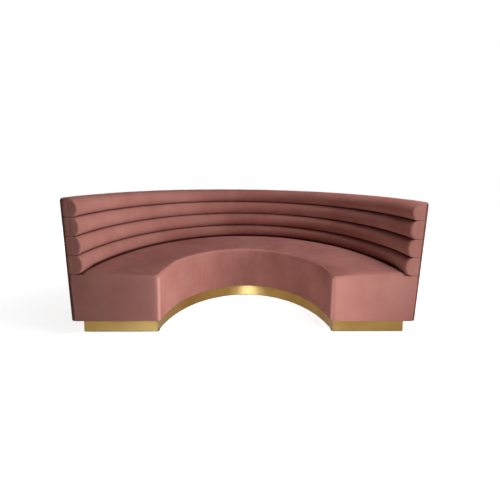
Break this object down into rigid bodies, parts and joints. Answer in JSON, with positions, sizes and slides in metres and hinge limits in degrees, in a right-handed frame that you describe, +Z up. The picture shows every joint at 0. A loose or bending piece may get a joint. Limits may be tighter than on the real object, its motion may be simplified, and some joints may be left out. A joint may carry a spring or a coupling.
{
  "type": "curved sofa",
  "caption": "Half-round upholstered banquette sofa with a stacked-roll back, one continuous tight velvet seat and a recessed brass-clad plinth.",
  "frame": {"origin": "on the floor, at the middle of the sofa's bounding box in X and Y", "axes": "+X towards the right end as seen by someone facing the seat, +Y towards the back of the half round, +Z up; the two flat end faces look along -Y"},
  "size_m": [2.6086, 1.305, 1],
  "materials": {
    "velvet": "dusty-rose cut velvet with a soft sheen",
    "brass_sheet": "brushed along its length, clear lacquered",
    "plywood": "bare birch plywood",
    "foam": "cut upholstery foam",
    "wadding": "bonded polyester wadding",
    "steel": "zinc plated",
    "nylon": "moulded nylon, satin",
    "black_cloth": "non-woven dust cover"
  },
  "bodies": {
    "root": {"glide_1": "nylon", "glide_2": "nylon", "glide_3": "nylon", "glide_4": "nylon", "glide_5": "nylon", "glide_6": "nylon", "glide_7": "nylon", "glide_8": "nylon", "dust_cover": "black_cloth", "plinth_front_rail": "plywood", "plinth_back_rail": "plywood", "plinth_end_rail_left": "plywood", "plinth_end_rail_right": "plywood", "plinth_rib_1": "plywood", "plinth_rib_2": "plywood", "plinth_rib_3": "plywood", "plinth_rib_4": "plywood", "plinth_rib_5": "plywood", "base_board_left": "plywood", "base_board_centre": "plywood", "base_board_right": "plywood", "seat_front_panel": "plywood", "seat_end_panel_left": "plywood", "seat_end_panel_right": "plywood", "seat_rib_1": "plywood", "seat_rib_2": "plywood", "seat_rib_3": "plywood", "seat_rib_4": "plywood", "seat_rib_5": "plywood", "seat_deck_left": "plywood", "seat_deck_centre": "plywood", "seat_deck_right": "plywood", "back_board_left": "plywood", "back_board_centre": "plywood", "back_board_right": "plywood", "brass_front": "brass_sheet", "brass_end_left": "brass_sheet", "brass_end_right": "brass_sheet", "brass_back_left": "brass_sheet", "brass_back_right": "brass_sheet", "back_bracket_1": "steel", "back_bracket_2": "steel", "back_bracket_3": "steel", "back_bracket_4": "steel", "back_bracket_5": "steel", "seat_foam": "foam", "seat_padding": "foam", "roll_foam_1": "foam", "roll_foam_2": "foam", "roll_foam_3": "foam", "roll_foam_4": "foam", "back_wadding": "wadding", "seat_cover": "velvet", "outside_back_cover": "velvet", "roll_cover_1": "velvet", "roll_cover_2": "velvet", "roll_cover_3": "velvet", "roll_cover_4": "velvet"}
  },
  "joints": []
}
